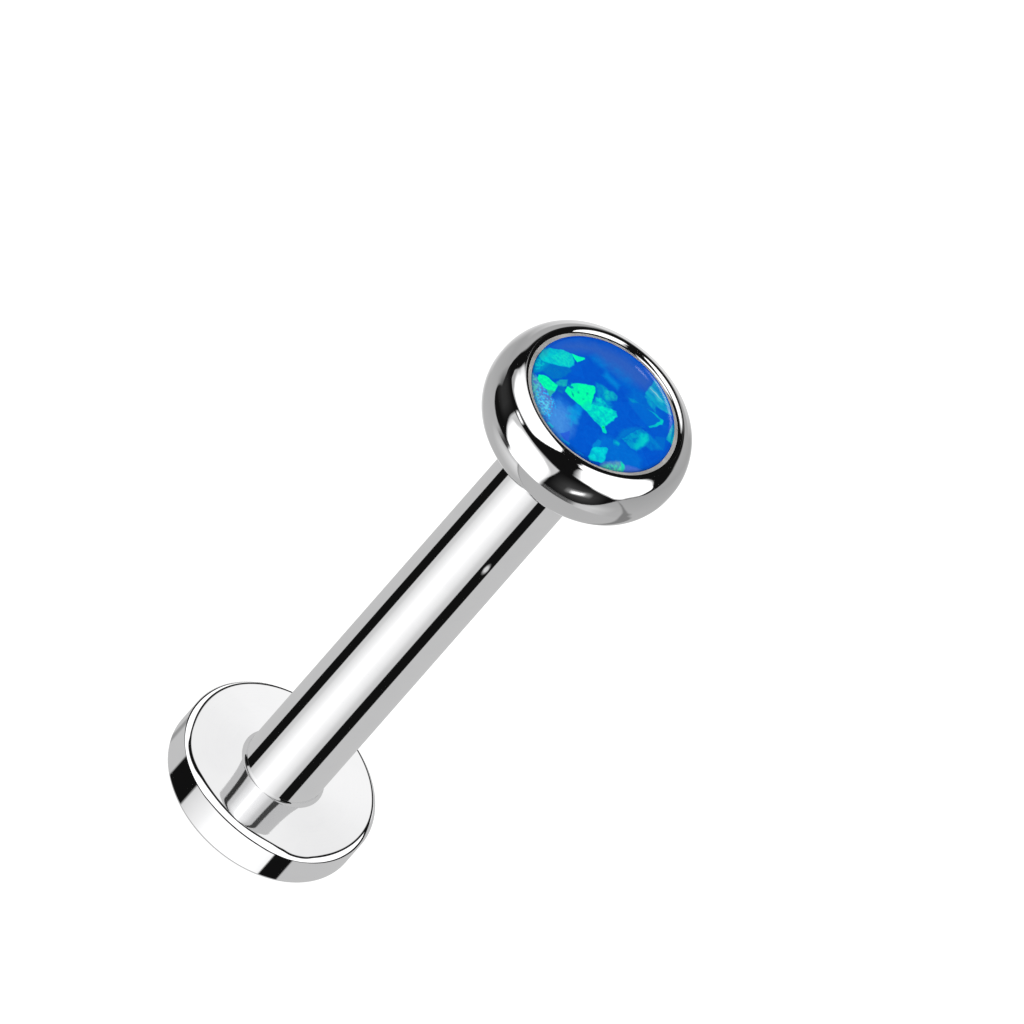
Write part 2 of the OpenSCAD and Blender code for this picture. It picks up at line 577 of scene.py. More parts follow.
FLAKES = (
    # Soft haze over the stone; its pale veil at the far left is milky opal and painted sheen, the dome's
    # faint gloss laid into the colour
    Flake(HAZE_SHEEN, ((-104, 19), (-97, 43), (-81, 67), (-62, 80), (-44, 77), (-49, 53), (-74, 40), (-97, 26)),
          0.9, 16.0),
    Flake(HAZE_SHEEN, ((-62, 80), (-44, 94), (-16, 104), (11, 104), (34, 100), (32, 82), (-12, 66), (-44, 66)),
          0.9, 18.0),
    Flake(shown(0, 126, 212), ((-51, 70), (-30, 72), (-26, 57), (-39, 53), (-58, 55)), 0.7, 10.0,
          Grain.CLOUD),
    Flake(shown(0, 132, 214), ((-26, 55), (0, 53), (1, 43), (-26, 44)), 0.9, 7.0),
    Flake(shown(0, 118, 208), ((-26, 77), (2, 80), (18, 72), (16, 60), (-21, 62)), 0.7, 14.0, Grain.CLOUD),
    Flake(shown(0, 114, 205), ((16, 66), (36, 74), (62, 62), (80, 50), (60, 40), (20, 46)), 0.8, 14.0,
          Grain.CLOUD),
    Flake(shown(0, 112, 208), ((27, -45), (57, -28), (90, -32), (99, -49), (69, -69), (48, -83), (30, -69)),
          0.9, 9.0, Grain.CLOUD, 0.3),
    # Streaky feathers at the far right
    Flake(shown(14, 172, 204), ((32, 108), (48, 104), (68, 91), (82, 76), (60, 70), (34, 74)), 0.95, 2.0,
          Grain.STREAK, 0.5),
    Flake(shown(60, 200, 214), ((33, 94), (46, 93), (62, 84), (56, 81), (34, 84)), 0.95, 2.5, Grain.STREAK,
          0.7),
    Flake(shown(196, 232, 236), ((35, 90), (46, 89.5), (56, 86), (46, 87), (35, 87.5)), 0.75, 2.0,
          Grain.STREAK, 0.5),
    Flake(shown(6, 168, 204), ((34, 84), (52, 78), (61, 60), (48, 62), (35, 71)), 0.9, 3.0, Grain.CLOUD,
          0.6),
    # Dark pane with a bright hook
    Flake(shown(0, 104, 206), ((23, 43), (60, 54), (75, 53), (68, 27), (53, 29), (26, 37)), 0.9, 2.5),
    Flake(SEA, ((22, 46), (28, 50), (34, 50), (30, 44), (24, 43)), 0.8, 4.0),
    Flake(shown(0, 182, 200), ((53, 54.5), (62, 57), (76, 58), (78, 55), (68, 54)), 0.85, 1.6),
    Flake(shown(0, 208, 196), ((73, 57), (78.5, 57), (79.5, 50), (75.5, 47)), 0.95, 1.4),
    Flake(shown(0, 206, 196), ((75.5, 50), (79.5, 50), (76, 40), (72, 38), (73, 45)), 0.95, 1.4),
    Flake(shown(0, 192, 198), ((72, 40), (76, 41), (71, 27), (68, 28)), 0.95, 1.4),
    # Right edge
    Flake(shown(0, 108, 202), ((96, 34), (106, 10), (89, 12), (83, 22)), 0.9, 2.0),
    Flake(shown(0, 190, 190), ((90, 68), (97, 60), (111, 32), (98, 33), (94, 44)), 0.95, 2.0, Grain.CLOUD,
          0.45),
    # Teal flakes at the left
    Flake(DULL, ((-93, -10), (-69, 12), (-61, 9), (-60, -5), (-67, -15), (-69, -26), (-83, -29),
          (-94, -29)), 0.85, 2.5, Grain.CLOUD, 0.3),
    Flake(shown(0, 140, 196), ((-113, 2), (-92, -9), (-93, -28), (-101, -45), (-109, -30)), 0.9, 3.0),
    Flake(shown(0, 196, 200), ((-111, 2), (-97, -6), (-96, -26), (-101, -36), (-108, -26)), 0.9, 3.0,
          Grain.SPECK, 0.9),
    Flake(TEAL, ((-108, 14), (-88, 32), (-78, 36), (-69, 29), (-66, 23), (-68, 12), (-90, -7), (-104, -13),
          (-110, -9)), 0.96, 2.0, Grain.CLOUD, 0.35),
    Flake(shown(18, 222, 196), ((-90, 27), (-80, 33), (-70, 26), (-69, 13), (-84, 6), (-98, 2)), 0.75, 6.0,
          Grain.SPECK, 0.6),
    Flake(shown(30, 176, 186), ((-113, 6), (-106, 14), (-103, 2), (-105, -12), (-111, -10)), 0.7, 5.0),
    Flake(shown(2, 252, 176), ((-79, 36), (-61, 47), (-60, 45), (-65, 32), (-69, 32))),
    # Small blues, and a milky and dotted patch near the left; its milky haze is milky opal and painted
    # sheen of the dome's gloss
    Flake(shown(20, 186, 176), ((-59, -8), (-54, -20), (-58, -27), (-65, -32), (-69, -29), (-66, -18)),
          0.85, 2.0, Grain.CLOUD, 0.4),
    Flake(shown(10, 84, 196), ((-60, -26), (-29, -32), (-30, -44), (-49, -52), (-60, -56)), 0.85, 3.0,
          Grain.CLOUD, 0.3),
    Flake(shown(0, 128, 180), ((-62, -28), (-53, -26), (-52, -36), (-60, -40)), 0.8, 3.0, Grain.CLOUD, 0.7),

    Flake(shown(30, 124, 214), ((-54, -44), (-22, -42), (-14, -52), (-16, -68), (-40, -70), (-56, -62)),
          0.8, 9.0, Grain.CLOUD, 0.5),
    # Milky haze: milky opal, and painted sheen, the dome's faint gloss laid into the colour
    Flake(MILK_AND_SHEEN, ((-54, -72), (-44, -58), (-28, -55), (-15, -64), (-8, -88), (-12, -105), (-34, -108),
          (-50, -97)), 0.85, 20.0, Grain.CLOUD, 0.35),
    Flake(MILK_AND_SHEEN, ((-50, -76), (-40, -66), (-24, -66), (-14, -84), (-16, -104), (-34, -107), (-46, -98)), 0.6,
          16.0, Grain.CLOUD, 0.2),
    Flake(shown(0, 142, 220), ((-29, -32), (-13, -34), (-14, -45), (-11, -61), (-10, -76), (-20, -66),
          (-28, -50)), 0.9, 4.0, Grain.CLOUD, 0.4),
    Flake(shown(16, 158, 218), ((-34, -46), (-14, -44), (-9, -62), (-14, -76), (-28, -66)), 0.8, 6.0,
          Grain.CLOUD, 0.8),
    Flake(shown(82, 118, 200), ((-101, -45), (-92, -48), (-75, -51), (-53, -60), (-45, -84), (-54, -100),
          (-81, -83), (-94, -64)), 0.95, 6.0),
    Flake(shown(84, 206, 190), ((-103, -45), (-93, -47), (-80, -56), (-72, -76), (-81, -85), (-95, -64)),
          0.85, 4.0, Grain.SPECK, 0.9),
    Flake(SKY_BLUE, ((-84, -52), (-72, -51), (-53, -56), (-40, -78), (-44, -102), (-58, -100), (-81, -83)),
          0.95, 6.0, Grain.DOT, 1.0),
    Flake(shown(90, 214, 238), ((-74, -66), (-56, -66), (-48, -86), (-56, -98), (-72, -84)), 0.8, 8.0,
          Grain.SPECK, 1.0),
    # Green flake at the left
    Flake(LEAF, ((-94, -40), (-85, -32), (-63, -31), (-62, -46), (-70, -51.5), (-76, -53.5), (-92, -48)),
          1.0, 1.4, Grain.SPECK, 0.12),
    Flake(shown(46, 186, 166), ((-62, -43), (-61, -59), (-72, -53)), 0.9, 1.2),
    # Glints at the near edge
    Flake(shown(38, 92, 214), ((-10, -84), (0, -106), (-18, -102)), 0.9, 1.6),
    Flake(shown(24, 190, 224), ((-40, -99), (-31, -100), (-31, -104), (-41, -103)), 0.9, 1.6),
    Flake(shown(0, 150, 220), ((-14, -106), (0, -104), (2, -108), (-12, -110)), 0.8, 1.6),
    Flake(shown(0, 120, 220), ((13, -106), (26, -102), (28, -105), (15, -109)), 0.8, 1.6),
    # Big green flake in the middle, with its clouds, pits and tail
    Flake(SEA, ((-18, 14), (-3, 20), (12, 13), (14, 2), (-7, 0)), 0.85, 5.0, Grain.CLOUD, 0.8),
    Flake(shown(0, 164, 196), ((-27, 24), (-20, 29), (-9, 31), (-1, 27), (2, 14), (-12, 12), (-19, 16)),
          0.9, 4.0, Grain.CLOUD, 0.7),
    Flake(shown(10, 196, 190), ((-10, 27), (-2, 33), (7, 33), (11, 26), (6, 18), (-2, 12), (-8, 17)), 0.9,
          3.0, Grain.CLOUD, 0.7),
    Flake(shown(2, 214, 200), ((-14, 2), (-6, 8), (9, 5), (12, -8), (7, -22), (-11, -28)), 0.95, 2.5,
          Grain.CLOUD, 0.7),
    Flake(shown(0, 236, 196), ((-12, -14), (11, 4), (20, 8), (26, 2), (25, -11), (22, -32), (19, -37),
          (-3, -34), (-12, -32)), 0.96, 1.6, Grain.CLOUD, 0.5),
    Flake(LEAF, ((-26, 18), (-23, 17), (-20, 11), (-11, -20), (-11, -31), (-30, -32), (-52, -30),
          (-53, -22), (-50, -7), (-46, -1))),
    Flake(shown(6, 214, 184), ((-52, -6), (-44, -2), (-36, -14), (-44, -20), (-51, -14)), 0.7, 3.0,
          Grain.SPECK, 0.8),
    Flake(shown(6, 206, 196), ((-18, -14), (-12, -16), (-11, -31), (-20, -31)), 0.6, 5.0),
    Flake(DULL, ((-56, -15), (-47, -12), (-45, -15), (-51, -19)), 0.9, 1.2),
    Flake(shown(0, 150, 160), ((-45, -21), (-40, -23), (-37, -27), (-41, -26)), 0.9, 1.2),
    Flake(shown(0, 150, 160), ((-26, -1), (-24, -3), (-25, -7), (-28, -4)), 0.7, 2.0),
    Flake(shown(0, 150, 160), ((-37, -11), (-34, -13), (-36, -16), (-38, -14)), 0.8, 2.0),
    Flake(shown(0, 170, 160), ((-25, -15), (-23, -17), (-25, -19), (-27, -17)), 0.7, 2.0),
    Flake(shown(0, 226, 186), ((19, -32), (22, -30), (29, -37), (29, -40), (25, -42), (19, -37)), 0.95),
    Flake(shown(0, 236, 30), ((21, -32), (23, -32), (23, -34), (22, -36), (20, -35)), 1.0, 1.0),
    # Flake at the right
    Flake(shown(0, 122, 200), ((60, 16), (51, -27), (47, -39), (43, -15), (51, 4)), 0.8, 5.0),
    Flake(shown(0, 134, 204), ((71, 18), (89, 15), (104, 12), (92, -5), (79, -6)), 0.85, 4.0, Grain.CLOUD,
          0.5),
    Flake(shown(0, 162, 200), ((61, 15), (74, 17), (81, 7), (79, -6), (79, -26), (69, -28), (51, -27),
          (57, -1)), 0.95, 1.8, Grain.CLOUD, 0.6),
    Flake(shown(2, 206, 200), ((66, 8), (74, 14), (82, 6), (80, -6), (80, -26), (71, -24)), 0.9, 5.0,
          Grain.CLOUD, 0.4),
    Flake(SEA, ((43, -39), (49, -35), (54, -38), (53, -43), (47, -46)), 0.6, 2.0),
    Flake(shown(0, 186, 200), ((47, -37), (52, -37), (53, -41), (48, -42)), 0.8, 2.0),
    # Flake with five corners
    Flake(shown(0, 136, 208), ((26, -60), (32, -58), (35, -69), (31, -83), (27, -78)), 0.9, 2.0),
    Flake(shown(0, 216, 214), ((43, -61), (46, -62), (53, -85), (51, -91), (36, -102), (33, -100),
          (28, -81), (32, -73)), 0.97, 1.8, Grain.CLOUD, 0.4),
    # Near right edge
    Flake(shown(110, 176, 172), ((53, -88), (62, -73), (71, -63), (76, -63), (82, -69), (82, -76),
          (69, -91), (53, -101)), 0.7, 4.0, Grain.CLOUD, 0.6),
    Flake(LIME, ((56, -92), (64, -80), (76, -68), (80, -70), (82, -76), (69, -91), (56, -100)), 0.9, 6.0,
          Grain.SPECK, 0.75),
    Flake(shown(0, 222, 176), ((70, -62), (76, -63), (82, -69), (81, -76), (77, -72)), 0.9, 1.6),
    Flake(shown(78, 116, 212), ((78, -64), (85, -56), (99, -49), (94, -66), (84, -76)), 0.7, 4.0),
)


@dataclass(frozen=True)
class OpalFinish:
    """Blue opal with green and teal flakes.

    They are laid out on the ledge's plane as the photograph's camera sees them. The lean is how far a place
    on the dome moves away from the camera, for each millimetre of its height, when it is taken down to that
    plane.
    """

    lean: float
    ledge_z: float
    name: str = "blue_green_opal"
    girdle_low: float = 1.055
    girdle_high: float = 1.1
    far_start: float = -0.2
    far_end: float = 0.5
    chart_per_mm: float = 100.0
    ragged_scale: float = 12.0
    ragged_by: float = 5.0
    facet_scale: float = 3.6
    facet_share: float = 0.5
    cloud_share: float = 0.3
    cloud_scale: float = 11.0
    cloud_range: Point = (0.36, 0.62)
    speck_scale: float = 24.0
    speck_range: Point = (0.42, 0.58)
    streak_scale: float = 14.0
    streak_range: Point = (0.38, 0.6)
    streak_squeeze: float = 0.22
    streak_slant: float = 0.12
    dot_scale: float = 24.0
    dot_range: Point = (0.46, 0.28)
    dot_patch_scale: float = 13.0
    dot_patch_range: Point = (0.42, 0.54)
    # Strength of the painted shade in the ring along the girdle
    girdle_painted_shade: float = 0.8
    speck_dark: float = 0.1
    smooth: float = 0.035
    rough: float = 0.06

    def material(self) -> bpy.types.Material:
        """Makes the material.

        Returns:
            The new material.
        """
        material, shader = empty_material(self.name)
        x, y, z = shader.split(shader.place())
        radius = (x * x + y * y).math("SQRT")
        far = y.share(self.far_start, self.far_end)
        y = y + (z - self.ledge_z) * self.lean
        flat = shader.join(x, y, 0.0)
        grains = self.grains(shader, flat, x, y)
        facets = shader.node("ShaderNodeTexVoronoi", {"voronoi_dimensions": "2D"}, flat,
                             Scale=self.facet_scale, out="Color")
        facet = shader.split(facets)[0]
        lifted = facet * self.facet_share + grains[Grain.CLOUD] * self.cloud_share
        colour = shader.mix(DEEP, BASE_BLUE, lifted)
        for flake, share in zip(FLAKES, self.shares(shader, flat, x, y)):
            mask = share * flake.cover
            if flake.grain is not Grain.PLAIN:
                mask = mask * shader.blend(1.0 - flake.broken, 1.0, grains[flake.grain])
            colour = shader.mix(colour, flake.colour, mask)
        # Painted shade: a dark ring just inside the girdle, on the far side of the stone
        girdle_mid = 0.5 * (self.girdle_low + self.girdle_high)
        girdle = radius.share(self.girdle_low, girdle_mid).lower(radius.share(self.girdle_high, girdle_mid))
        colour = shader.mix(colour, NIGHT, girdle * far * self.girdle_painted_shade)
        colour = shader.mix(colour, NIGHT, (1.0 - grains[Grain.SPECK]) * self.speck_dark)
        rough = shader.blend(self.smooth, self.rough, grains[Grain.CLOUD])
        surface = shader.node("ShaderNodeBsdfPrincipled", {}, Base_Color=colour, Roughness=rough)
        shader.close("ShaderNodeOutputMaterial", surface)
        return material

    def shares(self, shader: Shader, flat: Wire, x: Wire, y: Wire) -> list[Wire]:
        """How far a place lies inside each flake, whose edges are a little ragged.

        Args:
            shader: the opal's shader.
            flat: the place on the stone, as the photograph's camera sees it.
            x: its part across.
            y: its part away from the camera.

        Returns:
            A value from 0 to 1 for each flake.
        """
        noise = shader.noise(flat, self.ragged_scale, 3.0, out=1)
        ragged = shader.split(shader.vector("SUBTRACT", noise, (0.5, 0.5, 0.5)))
        across = x * self.chart_per_mm + ragged[0] * self.ragged_by
        away = y * self.chart_per_mm + ragged[1] * self.ragged_by
        outlines = [(flake.corners, flake.soft) for flake in FLAKES]
        return shader.insides(shader.join(across, across, across), shader.join(away, away, away), outlines)

    def grains(self, shader: Shader, flat: Wire, x: Wire, y: Wire) -> dict[Grain, Wire]:
        """The textures that break up the flakes.

        Args:
            shader: the opal's shader.
            flat: the place on the stone, as the photograph's camera sees it.
            x: its part across.
            y: its part away from the camera.

        Returns:
            A value from 0 to 1 for each grain.
        """
        streaked = shader.join(x * self.streak_squeeze, y + x * self.streak_slant, 0.0)
        dots = shader.node("ShaderNodeTexVoronoi", {"voronoi_dimensions": "2D"}, flat,
                           Scale=self.dot_scale, Randomness=1.0, out="Distance")
        dot_patches = shader.noise(flat, self.dot_patch_scale, 2.0).share(*self.dot_patch_range)
        return {Grain.CLOUD: shader.noise(flat, self.cloud_scale, 5.0, 0.6).share(*self.cloud_range),
                Grain.SPECK: shader.noise(flat, self.speck_scale, 3.0, 0.4).share(*self.speck_range),
                Grain.STREAK: shader.noise(streaked, self.streak_scale, 3.0, 0.3).share(*self.streak_range),
                Grain.DOT: dots.share(*self.dot_range) * dot_patches}


def dress(piece: bpy.types.Object, material: bpy.types.Material, slot: Slot, body: str,
          *nodes: str) -> None:
    """Gives a piece its finish and its place in the frame.

    Args:
        piece: the piece.
        material: its finish.
        slot: the record's slot that the finish stands for; not used.
        body: the body that it rides on.
        nodes: the frame's nodes that it stands for.
    """
    piece.data.materials.append(material)
    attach(piece, body)
    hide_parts(*nodes)
    log.info("%s: %d faces, rides on %s", piece.name, len(piece.data.polygons), body)


@dataclass
class FlatDisc:
    """The flat disc that the stud stands on.

    Its normals keep a slight slope over the flat face, so that the polish shows the same panels as the
    photograph.
    """

    radius: float = 1.5
    thick: float = 0.65
    front_edge: float = 0.11
    back_edge: float = 0.1
    foot_radius: float = 0.55
    face_slope: float = 82.0
    rim_slope: float = 75.0
    rim_width: float = 0.11
    rim_steps: int = 8
    flat_share: float = 0.98

    def build(self, metal: bpy.types.Material) -> bpy.types.Object:
        """Builds and dresses the disc.

        Args:
            metal: its finish.

        Returns:
            The piece.
        """
        back_r = self.radius - self.back_edge
        front_r = self.radius - self.front_edge
        section = Section()
        section.spot(0.0, 0.0, -90.0).spot(back_r * self.flat_share, 0.0, -90.0)
        section.arc((back_r, self.back_edge), self.back_edge, -90.0, 0.0, steps=20)
        section.arc((front_r, self.thick - self.front_edge), self.front_edge, 0.0, 90.0, steps=24,
                    slopes=(0.0, self.rim_slope))
        for i in range(1, self.rim_steps + 1):
            share = i / self.rim_steps
            ease = share * (2.0 - share)
            slope = self.rim_slope + (self.face_slope - self.rim_slope) * ease
            section.spot(front_r - self.rim_width * share, self.thick, slope)
        section.spot(self.foot_radius, self.thick, self.face_slope)
        section.spot(self.foot_radius * self.flat_share, self.thick, 90.0).spot(0.0, self.thick, 90.0)
        piece = section.turned("flat_disc")
        dress(piece, metal, Slot.METAL, "post", "flat_back_post")
        return piece


@dataclass
class PostShaft:
    """The straight post, with the fillet at its foot and the bore that takes the head's pin."""

    radius: float = 0.6
    foot_z: float = 0.65
    top_z: float = 8.65
    fillet: float = 0.05
    chamfer: float = 0.05
    bore_radius: float = 0.28
    bore_depth: float = 4.5
    sunk: float = 0.04
    foot_gap: float = 0.002
    edge: float = 0.012
    floor_share: float = 0.99

    def build(self, metal: bpy.types.Material) -> bpy.types.Object:
        """Builds and dresses the post.

        Args:
            metal: its finish.

        Returns:
            The piece.
        """
        foot_r = self.radius + self.fillet
        chamfer_z = self.top_z - self.chamfer
        end_r = self.radius - self.chamfer
        mouth_r = self.bore_radius + self.edge
        floor_z = self.top_z - self.bore_depth
        section = Section()
        base_z = self.foot_z - self.sunk
        section.spot(0.0, base_z, -90.0).spot(foot_r - self.edge, base_z, -90.0)
        section.arc((foot_r - self.edge, base_z + self.edge), self.edge, -90.0, 0.0, steps=4)
        section.spot(foot_r, self.foot_z - self.foot_gap, 0.0)
        section.arc((foot_r, self.foot_z + self.fillet), self.fillet, -90.0, -180.0, steps=12,
                    slopes=(90.0, 0.0))
        section.arc((end_r, chamfer_z), self.chamfer, 0.0, 90.0, steps=12)
        section.arc((mouth_r, self.top_z - self.edge), self.edge, 90.0, 180.0, steps=6)
        section.spot(self.bore_radius, floor_z, 180.0)
        section.spot(self.bore_radius * self.floor_share, floor_z, 90.0).spot(0.0, floor_z, 90.0)
        piece = section.turned("post_shaft")
        dress(piece, metal, Slot.METAL, "post", "flat_back_post")
        return piece


@dataclass
class BezelHead:
    """The rounded bezel, with its rolled rim, the ledge and cup for the stone, and the pin under it."""

    radius: float = 1.54
    under_z: float = 8.67
    side_band: float = 0.03
    side_arc: float = 0.75
    side_end: float = 26.0
    shoulder_arc: float = 0.414
    shoulder_end: float = 33.7
    rim_arc: float = 0.235
    lip_arc: float = 0.056
    lip_height: float = 0.06
    cup_radius: float = 1.145
    cup_depth: float = 0.47
    pin_radius: float = 0.25
    pin_length: float = 4.0
    pin_chamfer: float = 0.08
    edge: float = 0.012
    floor_share: float = 0.99
    seat_depth: float = 0.03
    seat_radius: float = 1.128

    def __post_init__(self) -> None:
        """Works out the arcs' centres, with heights from the middle of the bezel."""
        a, b = math.radians(self.side_end), math.radians(self.shoulder_end)
        side_x = self.radius - self.side_arc
        reach = self.side_arc - self.shoulder_arc
        self.side = (side_x, self.side_band)
        self.shoulder = (side_x + reach * math.cos(a), self.side_band + reach * math.sin(a))
        reach = self.shoulder_arc - self.rim_arc
        self.rim = (self.shoulder[0] + reach * math.cos(b), self.shoulder[1] + reach * math.sin(b))
        crest_z = self.rim[1] + self.rim_arc
        self.lip = (self.rim[0], crest_z - self.lip_arc)
        self.ledge = (self.rim[0] - self.lip_arc, crest_z - self.lip_height)
        self.middle_z = self.under_z + self.shoulder[1] + self.shoulder_arc

    def build(self, metal: bpy.types.Material) -> bpy.types.Object:
        """Builds and dresses the bezel up to its crest, with the cup and the pin.

        Args:
            metal: its finish.

        Returns:
            The piece.
        """
        z = self.middle_z
        tip_z = self.under_z - self.pin_length
        pin_r, edge = self.pin_radius, self.edge
        cup_z = z + self.ledge[1] - self.cup_depth
        section = Section()
        section.spot(0.0, tip_z, -90.0).spot(pin_r - self.pin_chamfer, tip_z, -90.0)
        section.arc((pin_r - self.pin_chamfer, tip_z + self.pin_chamfer), self.pin_chamfer, -90.0, 0.0,
                    steps=10)
        section.arc((pin_r + edge, self.under_z - edge), edge, 180.0, 90.0, steps=5, slopes=(0.0, -90.0))
        section.arc((self.shoulder[0], z - self.shoulder[1]), self.shoulder_arc, -90.0, -self.side_end,
                    steps=40)
        section.arc((self.side[0], z - self.side[1]), self.side_arc, -self.side_end, 0.0, steps=24)
        section.arc((self.side[0], z + self.side[1]), self.side_arc, 0.0, self.side_end, steps=24)
        section.arc((self.shoulder[0], z + self.shoulder[1]), self.shoulder_arc, self.side_end,
                    self.shoulder_end, steps=20)
        section.arc((self.rim[0], z + self.rim[1]), self.rim_arc, self.shoulder_end, 90.0, steps=44)
        ledge_z = z + self.ledge[1] - self.seat_depth
        crest_z = z + self.rim[1] + self.rim_arc
        section.spot(self.rim[0], crest_z, 180.0).spot(self.rim[0], ledge_z, 180.0)
        section.spot(self.rim[0], ledge_z, 90.0)
        section.arc((self.cup_radius + edge, ledge_z - edge), edge, 90.0, 180.0, steps=6)
        section.spot(self.cup_radius, cup_z, 180.0)
        section.spot(self.cup_radius * self.floor_share, cup_z, 90.0).spot(0.0, cup_z, 90.0)
        piece = section.turned("bezel_rim")
        dress(piece, metal, Slot.METAL, "head", "bezel_head")
        return piece

    def build_lip(self, metal: bpy.types.Material) -> bpy.types.Object:
        """Builds and dresses the lip that rolls over the crest towards the stone.

        Args:
            metal: its finish.

        Returns:
            The piece.
        """
        inner, outer = self.ledge[0], self.rim[0]
        base = self.middle_z + self.ledge[1] - self.seat_depth
        centre_z = self.middle_z + self.lip[1]
        crest = centre_z + self.lip_arc
        section = Section()
        section.arc((self.lip[0], centre_z), self.lip_arc, 90.0, 180.0, steps=28)
        section.spot(inner, base, 180.0).spot(inner, base, -90.0).spot(outer, base, -90.0)
        section.spot(outer, base, 0.0).spot(outer, crest, 0.0).spot(outer, crest, 90.0)
        piece = section.turned("bezel_lip")
        dress(piece, metal, Slot.METAL, "head", "bezel_head")
        return piece

    def build_seat(self, satin: bpy.types.Material) -> bpy.types.Object:
        """Builds and dresses the narrow satin ledge between the lip and the stone.

        Args:
            satin: its finish.

        Returns:
            The piece.
        """
        inner, outer = self.seat_radius, self.ledge[0]
        top = self.middle_z + self.ledge[1]
        base = top - self.seat_depth
        section = Section()
        section.spot(outer, base, 0.0).spot(outer, top, 0.0).spot(outer, top, 90.0)
        section.spot(inner, top, 90.0).spot(inner, top, 180.0).spot(inner, base, 180.0)
        section.spot(inner, base, -90.0).spot(outer, base, -90.0).spot(outer, base, 0.0)
        piece = section.turned("stone_seat")
        dress(piece, satin, Slot.METAL, "head", "bezel_head")
        return piece


@dataclass
class OpalCabochon:
    """The low domed opal."""

    ledge_z: float
    radius: float = 1.125
    dome: float = 0.25
    girdle_arc: float = 0.07
    depth: float = 0.45
    base_edge: float = 0.03

    def build(self, opal: bpy.types.Material) -> bpy.types.Object:
        """Builds and dresses the stone.

        Args:
            opal: its finish.

        Returns:
            The piece.
        """
        girdle_r = self.radius - self.girdle_arc
        reach = girdle_r ** 2 + self.dome ** 2 - self.girdle_arc ** 2
        dome_arc = reach / (2.0 * (self.dome - self.girdle_arc))
        dome_z = self.dome - dome_arc
        end = math.degrees(math.atan2(-dome_z, girdle_r))
        base_r, base_z = self.radius - self.base_edge, self.ledge_z - self.depth
        section = Section()
        section.spot(0.0, base_z, -90.0)
        section.arc((base_r, base_z + self.base_edge), self.base_edge, -90.0, 0.0, steps=6)
        section.arc((girdle_r, self.ledge_z), self.girdle_arc, 0.0, end, steps=24)
        section.arc((0.0, self.ledge_z + dome_z), dome_arc, end, 90.0, steps=24)
        piece = section.turned("opal_stone")
        dress(piece, opal, Slot.OPAL, "head", "opal_cabochon")
        return piece


@dataclass
class PhotoCamera:
    """A camera without perspective, at the photograph's angle to the stud.

    The lean turns the picture about its middle. The middle of the disc's front face is at face_z, and the
    photograph shows it at face_x and face_y, in pixels from its upper left corner.
    """

    elevation: float = 42.5
    lean: float = 41.27
    pixels_per_mm: float = 72.5
    frame_pixels: float = 1024.0
    face_x: float = 283.15
    face_y: float = 768.75
    face_z: float = 0.65
    distance: float = 60.0

    def __post_init__(self) -> None:
        """Works out the direction from the stud to the camera."""
        e = math.radians(self.elevation)
        self.towards = (0.0, -math.cos(e), math.sin(e))

    def build(self) -> bpy.types.Object:
        """Makes the camera and puts it in use.

        Returns:
            The camera.
        """
        e, lean = math.radians(self.elevation), math.radians(self.lean)
        back = Vector(self.towards)
        level, along = Vector((1.0, 0.0, 0.0)), Vector((0.0, math.sin(e), math.cos(e)))
        right = level * math.cos(lean) + along * math.sin(lean)
        up = along * math.cos(lean) - level * math.sin(lean)
        half = self.frame_pixels / 2.0
        middle = Vector((0.0, 0.0, self.face_z))
        middle += right * ((half - self.face_x) / self.pixels_per_mm)
        middle += up * ((self.face_y - half) / self.pixels_per_mm)
        data = bpy.data.cameras.new("photo_camera")
        data.type = "ORTHO"
        data.ortho_scale = self.frame_pixels / self.pixels_per_mm * MM
        data.clip_start, data.clip_end = MM, 1.0
        camera = bpy.data.objects.new("photo_camera", data)
        turn = Matrix((right, up, back)).transposed().to_4x4()
        camera.matrix_world = Matrix.Translation((middle + back * self.distance) * MM) @ turn
        bpy.context.scene.collection.objects.link(camera)
        bpy.context.scene.camera = camera
        log.info("camera %.1f degrees above the floor", self.elevation)
        return camera


class Side(Enum):
    """Which side of an edge a panel lies on."""

    OVER = 1
    UNDER = 2
    RIGHT = 3
    LEFT = 4


@dataclass(frozen=True)
class Sky:
    """Where a place on a tent is, in degrees.

    Azimuth 0 is towards the photograph's camera and grows to its right.
    """

    shader: Shader
    azimuth: Wire
    elevation: Wire


@dataclass(frozen=True)
class Edge:
    """One edge of a panel, through points of azimuth and elevation.

    An edge with one point is straight: level for OVER and UNDER, upright for RIGHT and LEFT.
    """

    side: Side
    points: tuple[Point, ...]
    soft: float = 2.0

    def mask(self, sky: Sky) -> Wire:
        """How far a place lies on the panel's side of the edge.

        Args:
            sky: the place.

        Returns:
            0 outside, 1 inside.
        """
        level = self.side in (Side.OVER, Side.UNDER)
        along, across = (sky.azimuth, sky.elevation) if level else (sky.elevation, sky.azimuth)
        step = (1.0 if self.side in (Side.OVER, Side.RIGHT) else -1.0) / self.soft
        if len(self.points) == 1:
            place = self.points[0][1 if level else 0]
            return across.math("MULTIPLY_ADD", step, 0.5 - step * place, clamp=True)
        if level:
            line = sky.shader.curve(along, self.points, (-180.0, -90.0), (180.0, 90.0))
        else:
            flipped = [(elevation, azimuth) for azimuth, elevation in self.points]
            line = sky.shader.curve(along, flipped, (-90.0, -180.0), (90.0, 180.0))
        return (across - line).math("MULTIPLY_ADD", step, 0.5, clamp=True)


